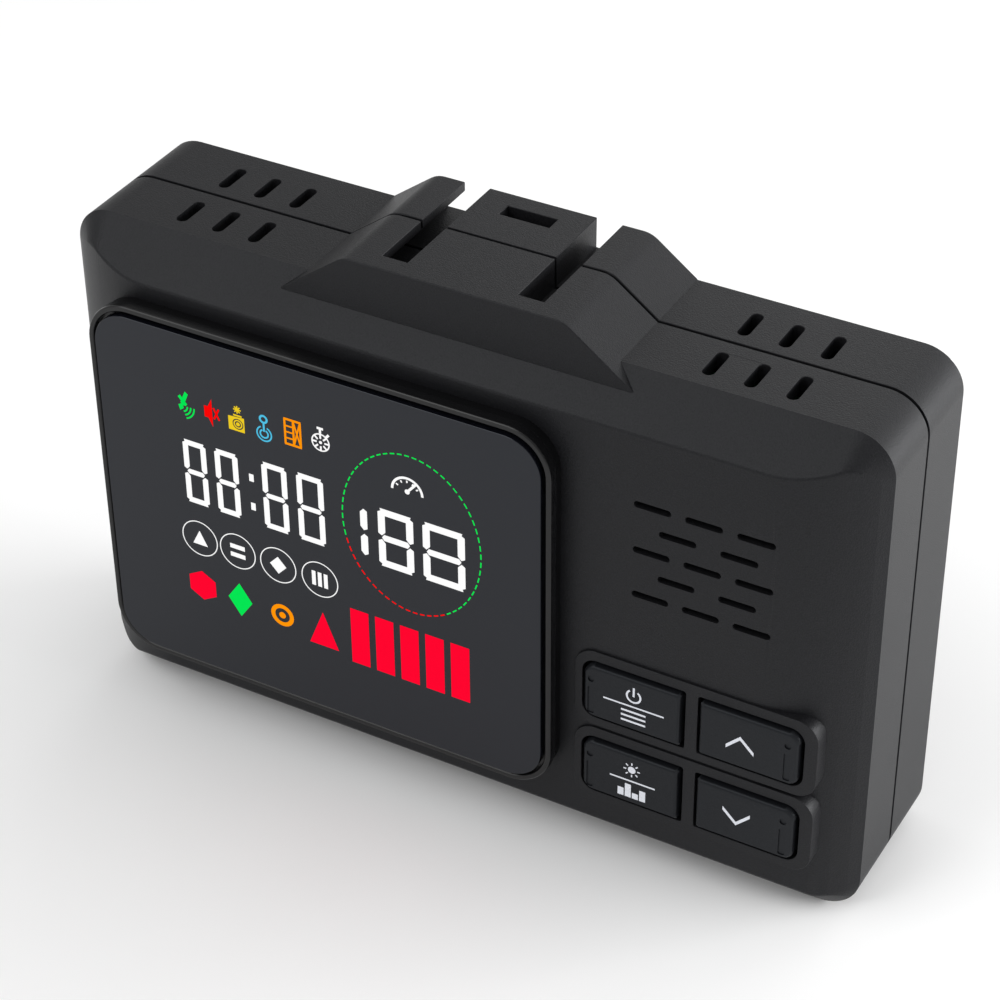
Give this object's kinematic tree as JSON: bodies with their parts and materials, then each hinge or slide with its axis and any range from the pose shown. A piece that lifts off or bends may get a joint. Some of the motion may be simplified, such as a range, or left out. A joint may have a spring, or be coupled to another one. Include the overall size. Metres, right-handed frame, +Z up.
{
  "type": "radar detector",
  "caption": "Windscreen radar detector: two-shell black case with a raised display, push buttons, a speaker grille and bracket rails on top.",
  "frame": {"origin": "centre of the bounding box at its bottom, under the middle of the case", "axes": "+X to the right seen from the driver, +Y from the display towards the road, +Z up"},
  "size_m": [0.1, 0.027, 0.0684],
  "materials": {
    "case_plastic": "fine grained moulded ABS, matte black",
    "trim_plastic": "smooth black moulding",
    "bezel_plastic": "semi-gloss black moulding",
    "window_panel": "satin smoked acrylic",
    "button_plastic": "fine grained moulded ABS with white printing",
    "foam_rubber": "closed-cell foam",
    "display_glass": "display panel",
    "clear_plastic": "clear acrylic",
    "white_plastic": "white moulding",
    "lamp_plastic": "surface-mounted lamps",
    "circuit_board": "solder mask on glass-fibre board",
    "plunger_plastic": "moulded plunger",
    "chip_plastic": "moulded chip package",
    "steel": "zinc plated",
    "tinned_steel": "tinned sheet",
    "cast_aluminium": "die cast",
    "ceramic": "ceramic patch with a silvered pad",
    "lens_glass": "red filter glass",
    "red_window": "infrared-passing dark red acrylic",
    "speaker_paper": "pressed paper",
    "grille_cloth": "black dust cloth",
    "lead_insulation": "insulated wire"
  },
  "bodies": {
    "root": {"front_cover": "case_plastic", "rear_cover": "case_plastic", "bracket_rail_front": "case_plastic", "bracket_rail_rear": "case_plastic", "display_frame": "trim_plastic", "display_bezel": "bezel_plastic", "display_window": "window_panel", "display_gasket": "foam_rubber", "display_panel": "display_glass", "light_guide": "clear_plastic", "panel_holder": "white_plastic", "backlight_leds": "lamp_plastic", "display_board": "circuit_board", "switch_bases": "steel", "board_header": "trim_plastic", "main_board": "circuit_board", "processor_chips": "chip_plastic", "horn_antenna": "cast_aluminium", "rf_shield": "tinned_steel", "gps_antenna": "ceramic", "gps_module": "tinned_steel", "backup_cell": "steel", "laser_sensor": "chip_plastic", "laser_holder": "trim_plastic", "laser_lens": "lens_glass", "laser_window": "red_window", "power_jack": "trim_plastic", "usb_socket": "tinned_steel", "usb_tongue": "trim_plastic", "speaker_frame": "trim_plastic", "speaker_magnet": "steel", "speaker_cone": "speaker_paper", "speaker_cloth": "grille_cloth", "speaker_leads": "lead_insulation", "case_screws": "steel", "front_board_screws": "steel", "main_board_screws": "steel"},
    "button_menu_body": {"button_menu": "button_plastic", "plunger_menu": "plunger_plastic"},
    "button_up_body": {"button_up": "button_plastic", "plunger_up": "plunger_plastic"},
    "button_dim_body": {"button_dim": "button_plastic", "plunger_dim": "plunger_plastic"},
    "button_down_body": {"button_down": "button_plastic", "plunger_down": "plunger_plastic"}
  },
  "joints": [
    {"name": "press_menu", "type": "slide", "parent": "root", "child": "button_menu_body", "axis": [0, 1, 0], "range_m": [0, 0.00045], "stiffness_N_per_m": 3000},
    {"name": "press_up", "type": "slide", "parent": "root", "child": "button_up_body", "axis": [0, 1, 0], "range_m": [0, 0.00045], "stiffness_N_per_m": 3000},
    {"name": "press_dim", "type": "slide", "parent": "root", "child": "button_dim_body", "axis": [0, 1, 0], "range_m": [0, 0.00045], "stiffness_N_per_m": 3000},
    {"name": "press_down", "type": "slide", "parent": "root", "child": "button_down_body", "axis": [0, 1, 0], "range_m": [0, 0.00045], "stiffness_N_per_m": 3000}
  ]
}
